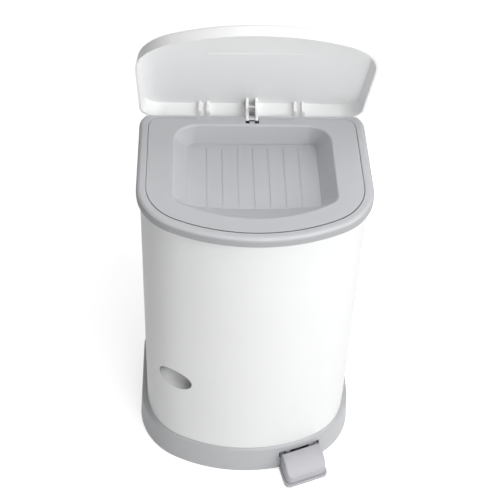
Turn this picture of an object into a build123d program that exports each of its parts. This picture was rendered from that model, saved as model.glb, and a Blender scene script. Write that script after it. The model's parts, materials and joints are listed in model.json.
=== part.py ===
"""Pedal nappy bin: D-shaped in plan, with a lid, a sunken tray with a trap, and a front door.

Millimetres, +Z up, floor at Z = 0, front towards -Y. X = 0 is the middle of the bin, and
Y = 0 is halfway between the pedal's tip and the back of the open lid. The lid is drawn
open and the pedal pressed, as they stand when a foot is on the pedal.
"""
from build123d import *
from collections import namedtuple
from math import atan2, cos, degrees, radians, sin, sqrt
import os

# ------------------------------------------------------------------ driving dimensions
# top ring, the widest outline of the upper part
RIM_HEIGHT = 477.0          # floor to the top of the ring
RIM_HALF_WIDTH = 150.5
RIM_DEPTH = 253.0
RIM_FRONT_RADIUS = 232.0
RIM_SIDE_RADIUS = 82.0
RIM_BACK_RADIUS = 30.0
RIM_BAND = 13.0             # height of the ring's outer face
RIM_ROUND = 6.0             # rounding of its top outer edge
RIM_FOOT_ROUND = 1.0
RIM_SLOPE_DEPTH = 13.0      # the top slopes down over this much at the back
RIM_SLOPE_DROP = 10.5
MOUTH_ROUND = 1.5
RIM_WIDTH = 12.5            # from the outer face to the seam round the inner panel
RIM_BACK_WIDTH = 17.5       # the same behind the panel, where the hinges are
LEDGE_WIDTH = 7.5           # the step inside the ring that carries the seal
LEDGE_THICKNESS = 6.0
SEAL_INSET = 1.0

# body: rear shell and front door share one outline
BODY_SIDE_STEP = 4.0        # how far the body stands in from the ring, at the sides
BODY_FRONT_STEP = 8.5
BODY_BACK_STEP = 2.0
BODY_FRONT_RADIUS = 212.0
BODY_SIDE_RADIUS = 90.0
BODY_BACK_RADIUS = 28.0
BODY_WALL = 2.6
FLANGE_WIDTH = 13.0
FLANGE_THICKNESS = 3.0
SEAM_FROM_BACK = 105.0      # the door's edge, measured from the ring's back
DOOR_GAP = 0.6
DOOR_FLANGE_WIDTH = 8.0

# door hinge and catch
DOOR_KNUCKLE_RADIUS = 3.4
DOOR_KNUCKLE_LENGTH = 14.0
SHELL_KNUCKLE_LENGTH = 10.0
DOOR_PIN_RADIUS = 1.5
DOOR_HINGE_HEIGHTS = (115.0, 400.0)
CATCH_HEIGHT = 174.0
CATCH_LENGTH = 28.0
CATCH_DEPTH = 8.0           # how far the catch stands in from the wall
TONGUE_INSET = 5.0          # middle of the tongue, inside the body's face
TONGUE_THICKNESS = 2.0
TONGUE_REACH = 11.0
TONGUE_END_GAP = 1.5        # above and below the tongue, in the catch

# finger recess in the door
RECESS_HEIGHT = 174.0       # middle of the recess above the floor
RECESS_TURN = 4.6           # degrees past the start of the left front corner's arc
RECESS_LENGTH = 53.0
RECESS_RADIUS = 17.5
RECESS_SET_BACK = 2.2       # its axis lies this far inside the body's face
RECESS_WALL = 2.0

# base
BASE_TOP = 50.0
BASE_SIDE_PROUD = 7.5       # beyond the ring's sides
BASE_FRONT_STEP = 4.0       # behind the ring's front, in plan
BASE_BACK_PROUD = 5.0
BASE_FRONT_RADIUS = 224.0
BASE_SIDE_RADIUS = 102.0
BASE_BACK_RADIUS = 42.0
BASE_DRAFT = 3.0            # how much the base draws in from floor to top
BASE_SHOULDER = 7.0
BASE_WALL = 3.0
BASE_SHOULDER_WALL = 8.0    # the hollow's step in from the outline, at the top
PLATE_THICKNESS = 3.0
PLATE_CLEARANCE = 0.8
FOOT_PROUD = 1.5
FOOT_RADIUS = 9.0
FOOT_SEAT = 1.5
BOSS_RADIUS = 5.0

# fasteners
SCREW_RADIUS = 1.5
SCREW_HEAD_RADIUS = 3.2
SCREW_HEAD_HEIGHT = 2.0
SCREW_LENGTH = 12.0
SCREW_SLOT_WIDTH = 0.8
SCREW_CLEARANCE = 0.05
SHELL_SCREW_INSET = 6.0     # inside the body's face
SHELL_SCREW_ALONG = (14.0, 62.0)        # behind the door's edge
PLATE_SCREW_SIDE = 30.0     # inside the base's sides, for the two back pairs
PLATE_SCREW_BACKS = (50.0, 145.0)       # in front of the base's back
PLATE_SCREW_LEFT = (98.0, 34.0)         # from the base's left side and from its front
PLATE_SCREW_RIGHT = (40.0, 64.0)        # from its right side and from its front
FOOT_BACK_PLACE = (46.0, 27.0)          # from the base's sides and from its back
FOOT_FRONT_PLACE = (63.0, 46.0)         # from the base's sides and from its front

# lid
HINGE_FROM_BACK = 12.3
HINGE_BELOW_RIM = 10.8
LID_OPEN_ANGLE = 60.0
LID_GAP = 0.6               # closed lid above the ring
LID_FRONT_HEIGHT = 17.7
LID_BACK_HEIGHT = 21.3
LID_DRAFT = 4.0
LID_ROUND = 6.0
LID_WALL = 2.5
LID_PAD_HALF_WIDTH = 61.0   # the raised rectangle inside the lid
LID_PAD_NEAR = 68.0         # its edges, forward of the hinge
LID_PAD_FAR = 157.0
LID_PAD_RISE = 0.3

# lid hinge
HINGE_PLACES = (-64.5, 64.5)
HINGE_PIN_RADIUS = 2.0
PIN_CLEARANCE = 0.05
KNUCKLE_RADIUS = 5.0
EAR_THICKNESS = 4.0
PANEL_LUG_WIDTH = 6.0
SIDE_PLAY = 0.4
RING_BOSS_WIDTH = 6.0
RING_BOSS_RADIUS = 6.0
NOTCH_DEPTH = 11.5          # below the hinge axis
NOTCH_SIDE_GAP = 0.6
NOTCH_CENTRE_GAP = 1.0
NOTCH_REACH = 14.0          # in front of the hinge axis, through the ring
APRON_HALF_WIDTH = 95.0     # strip under the ring that joins it below the notches
APRON_DEPTH = 16.0          # below the hinge axis
APRON_THICKNESS = 3.0
SCREEN_THICKNESS = 1.0      # thin upright behind the rod, in the middle notch
SCREEN_TOP = 0.5            # below the hinge axis
EAR_NECK_FRONT = 5.6        # the side ears' necks, behind the hinge axis
EAR_NECK_BACK = 10.5
EAR_FOOT = -2.0             # the neck's lower end, above the axis
EAR_NECK_TOP = 12.0
EAR_RIB_FRONT = -0.5
EAR_RIB_BOTTOM = 16.0
EAR_RIB_BACK = 6.6
CENTRE_EAR_FRONT = -1.0
CENTRE_EAR_GAP = 9.0        # clear width between the two centre ears
CENTRE_EAR_THICKNESS = 3.5
CENTRE_GUSSET_FRONT = -14.0
CENTRE_GUSSET_BOTTOM = (-7.0, 14.0)
CROSS_BAR_PLACE = (-4.2, 20.8)          # joins the centre ears
CROSS_BAR_RADIUS = 1.5
DRIVE_RADIUS = 12.0         # drive pin from the hinge axis
DRIVE_CLOSED_ANGLE = 0.0    # its place when the lid is shut, above straight ahead
DRIVE_PIN_RADIUS = 1.5
DRIVE_EYE_RADIUS = 3.0

# inner panel, tray and trap
PANEL_THICKNESS = 4.0
PANEL_GAP = 0.4
PANEL_TAPER = 3.0           # its edge draws in below, to clear the ring when it lifts
PANEL_BACK_GAP = 1.0
PANEL_HEEL_RADIUS = 12.2    # the panel is cut back to this round the hinge, to clear the ring
PANEL_LUG_FRONT = 6.0       # lugs meet the panel this far in front of the hinge
PANEL_LUG_REACH = 6.0
PANEL_CENTRE_NOTCH = 16.0
PANEL_TONGUE_END = 0.7      # tongues over the side hinges end this far in front of the axis
SEAL_GAP = 0.3
TRAY_DEPTH = 30.0
TRAY_WALL = 2.5
TRAY_LIP = 3.0
TRAY_HALF_WIDTH = 103.5
TRAY_FRONT = 38.0           # behind the ring's front
TRAY_BACK = 32.0            # in front of the ring's back
TRAY_FRONT_RADIUS = 170.0
TRAY_SIDE_RADIUS = 16.0
TRAY_BACK_RADIUS = 32.0
FLOOR_HALF_WIDTH = 86.0
FLOOR_FRONT = 88.0
FLOOR_BACK = 35.0
FLOOR_FRONT_RADIUS = 700.0
FLOOR_CORNER_RADIUS = 9.0
TRAP_THICKNESS = 3.0
TRAP_LAP = 2.0
TRAP_GAP = 0.3
TRAP_AXIS_DROP = 7.5        # trap pin below the tray's floor
TRAP_AXIS_FROM_BACK = 34.0
TRAP_PIN_RADIUS = 1.5
TRAP_KNUCKLE_RADIUS = 3.2
TRAP_KNUCKLE_WIDTH = 8.0
TRAP_KNUCKLE_PLACES = (-60.0, 60.0)
TRAP_LUG_WIDTH = 4.0
TRAP_ARM_BACK = 4.0
TRAP_ARM_HEIGHT = 20.0
GROOVE_COUNT = 7
GROOVE_PITCH = 20.4
GROOVE_WIDTH = 1.2
GROOVE_DEPTH = 0.8
GROOVE_BACK = 46.0          # groove ends, in front of the ring's back
GROOVE_FRONT = 161.0
SPRING_WIRE_RADIUS = 0.6
SPRING_TURNS = 5
SPRING_PITCH = 1.8
SPRING_COIL_RADIUS = 3.0
SPRING_PLACE = 40.0

# liner cassette and its holder
HOLDER_BOTTOM = 393.0
HOLDER_THICKNESS = 3.0
HOLDER_HALF_WIDTH = 118.0
HOLDER_FRONT = 41.0         # behind the ring's front
HOLDER_CORNER = 40.0
HOLDER_RIM = 2.0
HOLDER_RIM_HEIGHT = 16.0
THROAT_SIDE_GAP = 3.0       # beside and in front of the trap flap as it swings
THROAT_FRONT_GAP = 1.0
THROAT_BACK = 38.5          # in front of the ring's back
THROAT_CORNER = 4.0
THROAT_TOP = 432.0
THROAT_WALL = 2.0
CASSETTE_HEIGHT = 28.0
CASSETTE_GAP = 0.5
CASSETTE_BACK = 28.0
CASSETTE_WALL = 2.0
FILM_HEIGHT = 23.0
ROD_NOTCH = 14.0            # half width of the holder's notch round the rod
TAB_WIDTH = 60.0            # two tabs fix the holder to the rear shell
TAB_PLACE = 75.0
TAB_DROP = 28.0
TAB_THICKNESS = 4.0
TAB_BOSS_LENGTH = 10.0

# push rod
ROD_RADIUS = 2.5
ROD_CLEARANCE = 0.08
ROD_HOLE_CLEARANCE = 1.5
ROD_HEAD_WIDTH = 7.0
ROD_HEAD_FRONT = 13.9       # its ends, in front of the hinge axis and behind it
ROD_HEAD_BACK = 2.8
ROD_HEAD_THICKNESS = 4.0
ROD_FIN_THICKNESS = 2.0     # upright fin at the back of the head
ROD_FIN_TOP = 20.5          # above the hinge axis
ROD_CONTACT_GAP = 0.3
SHOE_RADIUS = 6.0
SHOE_BOTTOM = 34.0
SHOE_HEIGHT = 8.0
SHOE_ROUND = 1.5
GUIDE_HEIGHTS = (140.0, 350.0)
GUIDE_WIDTH = 12.0
GUIDE_THICKNESS = 8.0

# pedal
PEDAL_AZIMUTH = 20.4        # its direction from the rod, from straight ahead
PEDAL_HALF_WIDTH = 30.5
PEDAL_REACH = 34.5          # out of the base
PEDAL_GAP = 1.4
PEDAL_SKEW = 4.5            # its left edge runs out to the left by this much
PEDAL_RIGHT_SKEW = 3.0      # and its right edge by this much
PEDAL_BACK_TOP = 38.0
PEDAL_CROWN = 35.0          # height halfway along the arched top
PEDAL_FRONT_TOP = 22.0
PEDAL_BOTTOM = 3.0
PEDAL_LIP = 2.5             # the flange stands out this much round the pad
PEDAL_LIP_THICKNESS = 5.0
PEDAL_GROOVE = 1.8          # groove between the flange and the pad, this deep
PEDAL_GROOVE_HEIGHT = 1.4
PEDAL_CORNER = 8.0
PEDAL_EDGE = 3.0
PEDAL_SCREW_LEVEL = 8.0     # the screws' heads stand at this height
PEDAL_SCREW_PLACES = (-7.0, 7.0)
LEVER_HALF_WIDTH = 12.0
LEVER_THICKNESS = 3.0
LEVER_BOTTOM = 17.0
LEVER_IN_PEDAL = 20.0
LEVER_TAIL = 8.0
LEVER_CLEARANCE = 0.1
BUMP_RADIUS = 4.0
BUMP_ROUND = 2.0
PIVOT_FROM_WALL = 70.0
PIVOT_HEIGHT = 26.0
PIVOT_PIN_RADIUS = 2.5
PIVOT_EAR_RADIUS = 5.5
PIVOT_EAR_THICKNESS = 3.0
PIVOT_LUG_THICKNESS = 5.0
SIDE_TAB_WIDTH = 6.5
SIDE_TAB_PLACE = 26.0
SIDE_TAB_DEPTH = 12.0
SIDE_TAB_BOTTOM = 24.5
SIDE_TAB_THICKNESS = 5.0
WINDOW_BOTTOM = 13.0       # middle window, for the lever
SIDE_WINDOW_BOTTOM = 23.0
WINDOW_TOP = 35.5
WINDOW_CUT = 16.0          # cut this deep through the curved wall
WINDOW_HALF_WIDTH = 32.0
WINDOW_RIB_INNER = 15.0
WINDOW_RIB_OUTER = 21.5

# ------------------------------------------------------------------ derived places
Plan = namedtuple("Plan", "half_width front back front_radius side_radius back_radius")

HINGE_Z = RIM_HEIGHT - HINGE_BELOW_RIM
DRIVE_OPEN_ANGLE = DRIVE_CLOSED_ANGLE + LID_OPEN_ANGLE
DRIVE_FORWARD = DRIVE_RADIUS * (cos(radians(DRIVE_OPEN_ANGLE)) + cos(radians(DRIVE_CLOSED_ANGLE))) / 2
ROD_STROKE = DRIVE_RADIUS * (sin(radians(DRIVE_OPEN_ANGLE)) - sin(radians(DRIVE_CLOSED_ANGLE)))
ROD_FROM_BACK = HINGE_FROM_BACK + DRIVE_FORWARD


def along_pedal(reach, across=0.0):
    """X and Y of a point that lies reach out from the rod and across to its right."""
    azimuth = radians(PEDAL_AZIMUTH)
    return (
        reach * sin(azimuth) + across * cos(azimuth),
        ROD_Y - reach * cos(azimuth) + across * sin(azimuth),
    )


# distance from the rod to the base's face, along the pedal
BASE_ARC_AHEAD = RIM_DEPTH - BASE_FRONT_STEP - BASE_FRONT_RADIUS - ROD_FROM_BACK
WALL_REACH = BASE_ARC_AHEAD * cos(radians(PEDAL_AZIMUTH)) + sqrt(
    BASE_FRONT_RADIUS**2 - (BASE_ARC_AHEAD * sin(radians(PEDAL_AZIMUTH))) ** 2
)
PEDAL_TIP = WALL_REACH + PEDAL_GAP + PEDAL_REACH

# Y of the ring's back, so that Y = 0 falls halfway between pedal tip and open lid
LIP_CORNER_REACH = PEDAL_TIP + PEDAL_LIP - PEDAL_CORNER
LIP_SKEW = atan2(PEDAL_SKEW, PEDAL_REACH + PEDAL_LIP)
LIP_CORNER_ACROSS = (
    PEDAL_HALF_WIDTH + PEDAL_LIP + PEDAL_SKEW - PEDAL_CORNER * (1 + sin(LIP_SKEW)) / cos(LIP_SKEW)
)
FOREMOST = (
    -ROD_FROM_BACK
    - LIP_CORNER_REACH * cos(radians(PEDAL_AZIMUTH))
    - LIP_CORNER_ACROSS * sin(radians(PEDAL_AZIMUTH))
    - PEDAL_CORNER
)
LID_CORNER_BACK = HINGE_FROM_BACK - LID_DRAFT - LID_ROUND
LID_CORNER_UP = HINGE_BELOW_RIM + LID_GAP + LID_BACK_HEIGHT - LID_ROUND
REARMOST = (
    -HINGE_FROM_BACK
    + LID_CORNER_BACK * cos(radians(LID_OPEN_ANGLE))
    + LID_CORNER_UP * sin(radians(LID_OPEN_ANGLE))
    + LID_ROUND
)
RIM_BACK = -(FOREMOST + REARMOST) / 2
RIM_FRONT = RIM_BACK - RIM_DEPTH
ROD_Y = RIM_BACK - ROD_FROM_BACK
HINGE_Y = RIM_BACK - HINGE_FROM_BACK
SEAM_Y = RIM_BACK - SEAM_FROM_BACK

RIM = Plan(RIM_HALF_WIDTH, RIM_FRONT, RIM_BACK, RIM_FRONT_RADIUS, RIM_SIDE_RADIUS, RIM_BACK_RADIUS)
MOUTH = Plan(
    RIM_HALF_WIDTH - RIM_WIDTH,
    RIM_FRONT + RIM_WIDTH,
    RIM_BACK - RIM_BACK_WIDTH,
    RIM_FRONT_RADIUS - RIM_WIDTH,
    RIM_SIDE_RADIUS - RIM_WIDTH,
    RIM_BACK_RADIUS - RIM_WIDTH,
)
BODY = Plan(
    RIM_HALF_WIDTH - BODY_SIDE_STEP,
    RIM_FRONT + BODY_FRONT_STEP,
    RIM_BACK - BODY_BACK_STEP,
    BODY_FRONT_RADIUS,
    BODY_SIDE_RADIUS,
    BODY_BACK_RADIUS,
)
BASE = Plan(
    RIM_HALF_WIDTH + BASE_SIDE_PROUD,
    RIM_FRONT + BASE_FRONT_STEP,
    RIM_BACK + BASE_BACK_PROUD,
    BASE_FRONT_RADIUS,
    BASE_SIDE_RADIUS,
    BASE_BACK_RADIUS,
)
TRAY = Plan(
    TRAY_HALF_WIDTH,
    RIM_FRONT + TRAY_FRONT,
    RIM_BACK - TRAY_BACK,
    TRAY_FRONT_RADIUS,
    TRAY_SIDE_RADIUS,
    TRAY_BACK_RADIUS,
)
TRAY_FLOOR = Plan(
    FLOOR_HALF_WIDTH,
    RIM_FRONT + FLOOR_FRONT,
    RIM_BACK - FLOOR_BACK,
    FLOOR_FRONT_RADIUS,
    FLOOR_CORNER_RADIUS,
    FLOOR_CORNER_RADIUS,
)

RING_BOTTOM = RIM_HEIGHT - RIM_BAND
LEDGE_TOP = RING_BOTTOM + LEDGE_THICKNESS
PANEL_BOTTOM = RIM_HEIGHT - PANEL_THICKNESS
FLOOR_Z = RIM_HEIGHT - TRAY_DEPTH
BODY_BACK_INSIDE = BODY.back - BODY_WALL
BODY_HEIGHT = RING_BOTTOM - BASE_TOP
DOOR_AXIS = (BODY.half_width, SEAM_Y)
PLATE_TOP = FOOT_PROUD + PLATE_THICKNESS
PIVOT_REACH = WALL_REACH - PIVOT_FROM_WALL

PEDAL_HEEL = WALL_REACH + PEDAL_GAP
LEVER_FRONT = PEDAL_HEEL + LEVER_IN_PEDAL
PEDAL_OUT = Axis((0, 0, 0), (sin(radians(PEDAL_AZIMUTH)), -cos(radians(PEDAL_AZIMUTH)), 0))
PEDAL_SCREWS = [(PEDAL_HEEL + LEVER_IN_PEDAL / 2, across) for across in PEDAL_SCREW_PLACES]
PIVOT_LUG_MIDDLE = LEVER_HALF_WIDTH + SIDE_PLAY + PIVOT_LUG_THICKNESS / 2
PIVOT_PIN_HALF = PIVOT_LUG_MIDDLE + PIVOT_LUG_THICKNESS / 2
SIDE_WINDOW_MIDDLE = (WINDOW_HALF_WIDTH + WINDOW_RIB_OUTER) / 2
SIDE_EAR_EDGE = PANEL_LUG_WIDTH / 2 + SIDE_PLAY
SIDE_NOTCH = SIDE_EAR_EDGE + EAR_THICKNESS + NOTCH_SIDE_GAP
CENTRE_NOTCH = CENTRE_EAR_GAP / 2 + CENTRE_EAR_THICKNESS + NOTCH_CENTRE_GAP
HINGE_PIN_HALF = SIDE_NOTCH + RING_BOSS_WIDTH
DRIVE_PIN_HALF = CENTRE_EAR_GAP / 2 + CENTRE_EAR_THICKNESS
ROD_HEAD_TOP = (
    HINGE_Z + DRIVE_RADIUS * sin(radians(DRIVE_OPEN_ANGLE)) - DRIVE_PIN_RADIUS - ROD_CONTACT_GAP
)
CATCH_WALL_X = BODY_WALL - BODY.half_width
TONGUE_X = TONGUE_INSET - BODY.half_width
PANEL = MOUTH._replace(back=MOUTH.back - PANEL_BACK_GAP + PANEL_GAP)

# finger recess: middle of its axis, which lies level along the body's face
RECESS_ARC_X = BODY.half_width - BODY_SIDE_RADIUS
RECESS_ARC_AHEAD = sqrt((BODY_FRONT_RADIUS - BODY_SIDE_RADIUS) ** 2 - RECESS_ARC_X**2)
RECESS_ARC_Y = BODY.front + BODY_FRONT_RADIUS - RECESS_ARC_AHEAD
RECESS_AZIMUTH = atan2(RECESS_ARC_X, RECESS_ARC_AHEAD) + radians(RECESS_TURN)
RECESS_REACH = BODY_SIDE_RADIUS - RECESS_SET_BACK
RECESS_FRAME = Plane(
    origin=(
        -RECESS_ARC_X - RECESS_REACH * sin(RECESS_AZIMUTH),
        RECESS_ARC_Y - RECESS_REACH * cos(RECESS_AZIMUTH),
        RECESS_HEIGHT,
    ),
    x_dir=(cos(RECESS_AZIMUTH), -sin(RECESS_AZIMUTH), 0),
    z_dir=(0, 0, -1),
)
RECESS_AXIS = Axis(RECESS_FRAME.origin, RECESS_FRAME.x_dir)

# trap pin, and the arms of the inner panel that carry it
TRAP_FRAME = Plane(origin=(0, RIM_BACK - TRAP_AXIS_FROM_BACK, FLOOR_Z - TRAP_AXIS_DROP))
TRAP_TOP = FLOOR_Z - TRAP_GAP
TRAP_LUG_EDGES = [
    place + edge
    for place in TRAP_KNUCKLE_PLACES
    for edge in (
        -TRAP_KNUCKLE_WIDTH / 2 - SIDE_PLAY - TRAP_LUG_WIDTH,
        TRAP_KNUCKLE_WIDTH / 2 + SIDE_PLAY,
    )
]
TRAP_PIN_HALF = TRAP_LUG_EDGES[-1] + TRAP_LUG_WIDTH
SPRING_START = TRAP_FRAME.origin + Vector(SPRING_PLACE, 0, 0)

# the trap flap reaches under the tray's walls all round, and swings down into the throat
THROAT_HALF_WIDTH = FLOOR_HALF_WIDTH + TRAP_LAP + THROAT_SIDE_GAP
THROAT_FRONT = FLOOR_FRONT - TRAP_LAP - THROAT_FRONT_GAP
HOLDER_TOP = HOLDER_BOTTOM + HOLDER_THICKNESS
HOLDER_FRONT_Y = RIM_FRONT + HOLDER_FRONT
CASSETTE_BACK_Y = RIM_BACK - CASSETTE_BACK
BACK_FACE = Plane(origin=(0, BODY.back, 0), x_dir=(1, 0, 0), z_dir=(0, -1, 0))
TAB_SCREWS = [(side * TAB_PLACE, HOLDER_BOTTOM - TAB_DROP / 2) for side in (-1, 1)]

# the lid's own frame: X along the hinge, Y towards its back, Z out of its top
LID_FRAME = Plane(
    origin=(0, HINGE_Y, HINGE_Z),
    x_dir=(1, 0, 0),
    z_dir=(0, sin(radians(LID_OPEN_ANGLE)), cos(radians(LID_OPEN_ANGLE))),
)
HINGE_FRAME = Plane(origin=(0, HINGE_Y, HINGE_Z))
LID_PLAN = RIM._replace(front=RIM.front - HINGE_Y, back=RIM.back - HINGE_Y)
LID_EDGE = HINGE_BELOW_RIM + LID_GAP
LID_TILT = degrees(atan2(LID_BACK_HEIGHT - LID_FRONT_HEIGHT, RIM_DEPTH))
LID_TOP_HEIGHT = LID_EDGE + LID_BACK_HEIGHT - HINGE_FROM_BACK * sin(radians(LID_TILT))
LID_TOP = Plane(
    origin=LID_FRAME.from_local_coords((0, 0, LID_TOP_HEIGHT)),
    x_dir=(1, 0, 0),
    z_dir=(0, sin(radians(LID_OPEN_ANGLE - LID_TILT)), cos(radians(LID_OPEN_ANGLE - LID_TILT))),
)
EAR_TOP = LID_TOP_HEIGHT - 0.75 * LID_WALL          # the ears run up into the lid's top wall
DRIVE_PLACE = (
    -DRIVE_RADIUS * cos(radians(DRIVE_CLOSED_ANGLE)),
    DRIVE_RADIUS * sin(radians(DRIVE_CLOSED_ANGLE)),
)

SHELL_SCREWS = [
    (side * (BODY.half_width - SHELL_SCREW_INSET), SEAM_Y + along)
    for side in (-1, 1)
    for along in SHELL_SCREW_ALONG
]
PLATE_SCREWS = [
    (side * (BASE.half_width - PLATE_SCREW_SIDE), BASE.back - along)
    for side in (-1, 1)
    for along in PLATE_SCREW_BACKS
]
PLATE_SCREWS += [
    (PLATE_SCREW_LEFT[0] - BASE.half_width, BASE.front + PLATE_SCREW_LEFT[1]),
    (BASE.half_width - PLATE_SCREW_RIGHT[0], BASE.front + PLATE_SCREW_RIGHT[1]),
]
FEET = [
    (side * (BASE.half_width - inset), y)
    for side in (-1, 1)
    for inset, y in (
        (FOOT_BACK_PLACE[0], BASE.back - FOOT_BACK_PLACE[1]),
        (FOOT_FRONT_PLACE[0], BASE.front + FOOT_FRONT_PLACE[1]),
    )
]


# ------------------------------------------------------------------ shared shapes
def d_face(plan, inset=0.0, mode=Mode.ADD):
    """Draw a D plan in the open sketch: flat back, straight sides, one long front arc."""
    width = plan.half_width - inset
    front = plan.front + inset
    back = plan.back - inset
    front_radius = plan.front_radius - inset
    side_radius = plan.side_radius - inset
    back_radius = plan.back_radius - inset
    arc_y = front + front_radius
    side_x = width - side_radius
    side_y = arc_y - sqrt((front_radius - side_radius) ** 2 - side_x**2)
    join = atan2(side_x, arc_y - side_y)
    join_x = front_radius * sin(join)
    join_y = arc_y - front_radius * cos(join)
    middle = (join + radians(90)) / 2
    side_mid_x = side_x + side_radius * sin(middle)
    side_mid_y = side_y - side_radius * cos(middle)
    corner = back_radius * (1 - cos(radians(45)))
    with BuildLine() as outline:
        ThreePointArc((-join_x, join_y), (0, front), (join_x, join_y))
        ThreePointArc((join_x, join_y), (side_mid_x, side_mid_y), (width, side_y))
        Line((width, side_y), (width, back - back_radius))
        ThreePointArc(
            (width, back - back_radius),
            (width - corner, back - corner),
            (width - back_radius, back),
        )
        Line((width - back_radius, back), (back_radius - width, back))
        ThreePointArc(
            (back_radius - width, back),
            (corner - width, back - corner),
            (-width, back - back_radius),
        )
        Line((-width, back - back_radius), (-width, side_y))
        ThreePointArc((-width, side_y), (-side_mid_x, side_mid_y), (-join_x, join_y))
    make_face(outline.line.edges(), mode=mode)


def keep_between(front, back):
    """Trim the open sketch to the strip between two values of Y."""
    with Locations((0, front)):
        Rectangle(
            4 * BASE.half_width,
            back - front,
            align=(Align.CENTER, Align.MIN),
            mode=Mode.INTERSECT,
        )


def ear_notches(side_front, centre_front, mode=Mode.ADD):
    """Draw the slots round the lid's ears in the open sketch, from these Y past the back."""
    end = RIM_BACK + BASE_BACK_PROUD
    places = [(place, side_front, SIDE_NOTCH) for place in HINGE_PLACES]
    places.append((0, centre_front, CENTRE_NOTCH))
    for x, y, half_width in places:
        with Locations((x, y)):
            Rectangle(2 * half_width, end - y, align=(Align.CENTER, Align.MIN), mode=mode)


def oval_face(length, depth):
    """Draw half an ellipse in the open sketch, its flat side along X."""
    with BuildLine() as outline:
        EllipticalCenterArc((0, 0), length / 2, depth, start_angle=0, arc_size=180)
        Line((length / 2, 0), (-length / 2, 0))
    make_face(outline.line.edges())


def pedal_face(outset=0.0, mode=Mode.ADD):
    """Draw the pedal's plan in the open sketch, grown by outset at its front and sides."""
    tip = PEDAL_TIP + outset
    half = PEDAL_HALF_WIDTH + outset
    with BuildLine() as outline:
        FilletPolyline(
            (PEDAL_HEEL, -half),
            (tip, -half - PEDAL_SKEW),
            (tip, half - PEDAL_RIGHT_SKEW),
            (PEDAL_HEEL, half),
            radius=PEDAL_CORNER,
        )
        Line((PEDAL_HEEL, half), (PEDAL_HEEL, -half))
    make_face(outline.line.edges(), mode=mode)


def holder_face(inset=0.0, mode=Mode.ADD):
    """Draw the holder's plan in the open sketch; it runs on past the back."""
    with Locations((0, HOLDER_FRONT_Y + inset)):
        RectangleRounded(
            2 * (HOLDER_HALF_WIDTH - inset),
            RIM_DEPTH + HOLDER_CORNER,
            HOLDER_CORNER - inset,
            align=(Align.CENTER, Align.MIN),
            mode=mode,
        )


def throat_face(outset=0.0, mode=Mode.ADD):
    """Draw the throat's plan in the open sketch, grown by outset."""
    front = RIM_FRONT + THROAT_FRONT - outset
    back = RIM_BACK - THROAT_BACK + outset
    with Locations((0, front)):
        RectangleRounded(
            2 * (THROAT_HALF_WIDTH + outset),
            back - front,
            THROAT_CORNER + outset,
            align=(Align.CENTER, Align.MIN),
            mode=mode,
        )


def shell_knuckle_levels(height):
    """Bottoms of the shell's two knuckles round a door knuckle at this height."""
    reach = DOOR_KNUCKLE_LENGTH / 2 + SIDE_PLAY
    return (height - reach - SHELL_KNUCKLE_LENGTH, height + reach)


def side_plane(frame, x):
    """A plane across the hinge at x, drawn with Y of the frame to the right and Z up."""
    return Plane(origin=frame.from_local_coords((x, 0, 0)), x_dir=frame.y_dir, z_dir=frame.x_dir)


def pedal_plane(across=0.0):
    """A plane along the pedal: X runs out from the rod, Y is up."""
    x, y = along_pedal(0.0, across)
    azimuth = radians(PEDAL_AZIMUTH)
    return Plane(
        origin=(x, y, 0),
        x_dir=(sin(azimuth), -cos(azimuth), 0),
        z_dir=(-cos(azimuth), -sin(azimuth), 0),
    )


def pedal_plan_plane(height):
    """A level plane with X out from the rod along the pedal."""
    azimuth = radians(PEDAL_AZIMUTH)
    return Plane(origin=(0, ROD_Y, height), x_dir=(sin(azimuth), -cos(azimuth), 0), z_dir=(0, 0, 1))


def screws(plane, places):
    """Slotted screws: heads stand on the plane and shanks run on along its normal."""
    with BuildPart() as group:
        with BuildSketch(plane):
            with Locations(*places):
                Circle(SCREW_HEAD_RADIUS)
        extrude(amount=SCREW_HEAD_HEIGHT)
        with BuildSketch(plane.offset(SCREW_HEAD_HEIGHT)):
            with Locations(*places):
                Circle(SCREW_RADIUS)
        extrude(amount=SCREW_LENGTH)
        with BuildSketch(plane):
            with Locations(*places):
                Rectangle(2 * SCREW_HEAD_RADIUS, SCREW_SLOT_WIDTH)
        extrude(amount=SCREW_HEAD_HEIGHT / 2, mode=Mode.SUBTRACT)
    return group


os.makedirs("parts", exist_ok=True)

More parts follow.
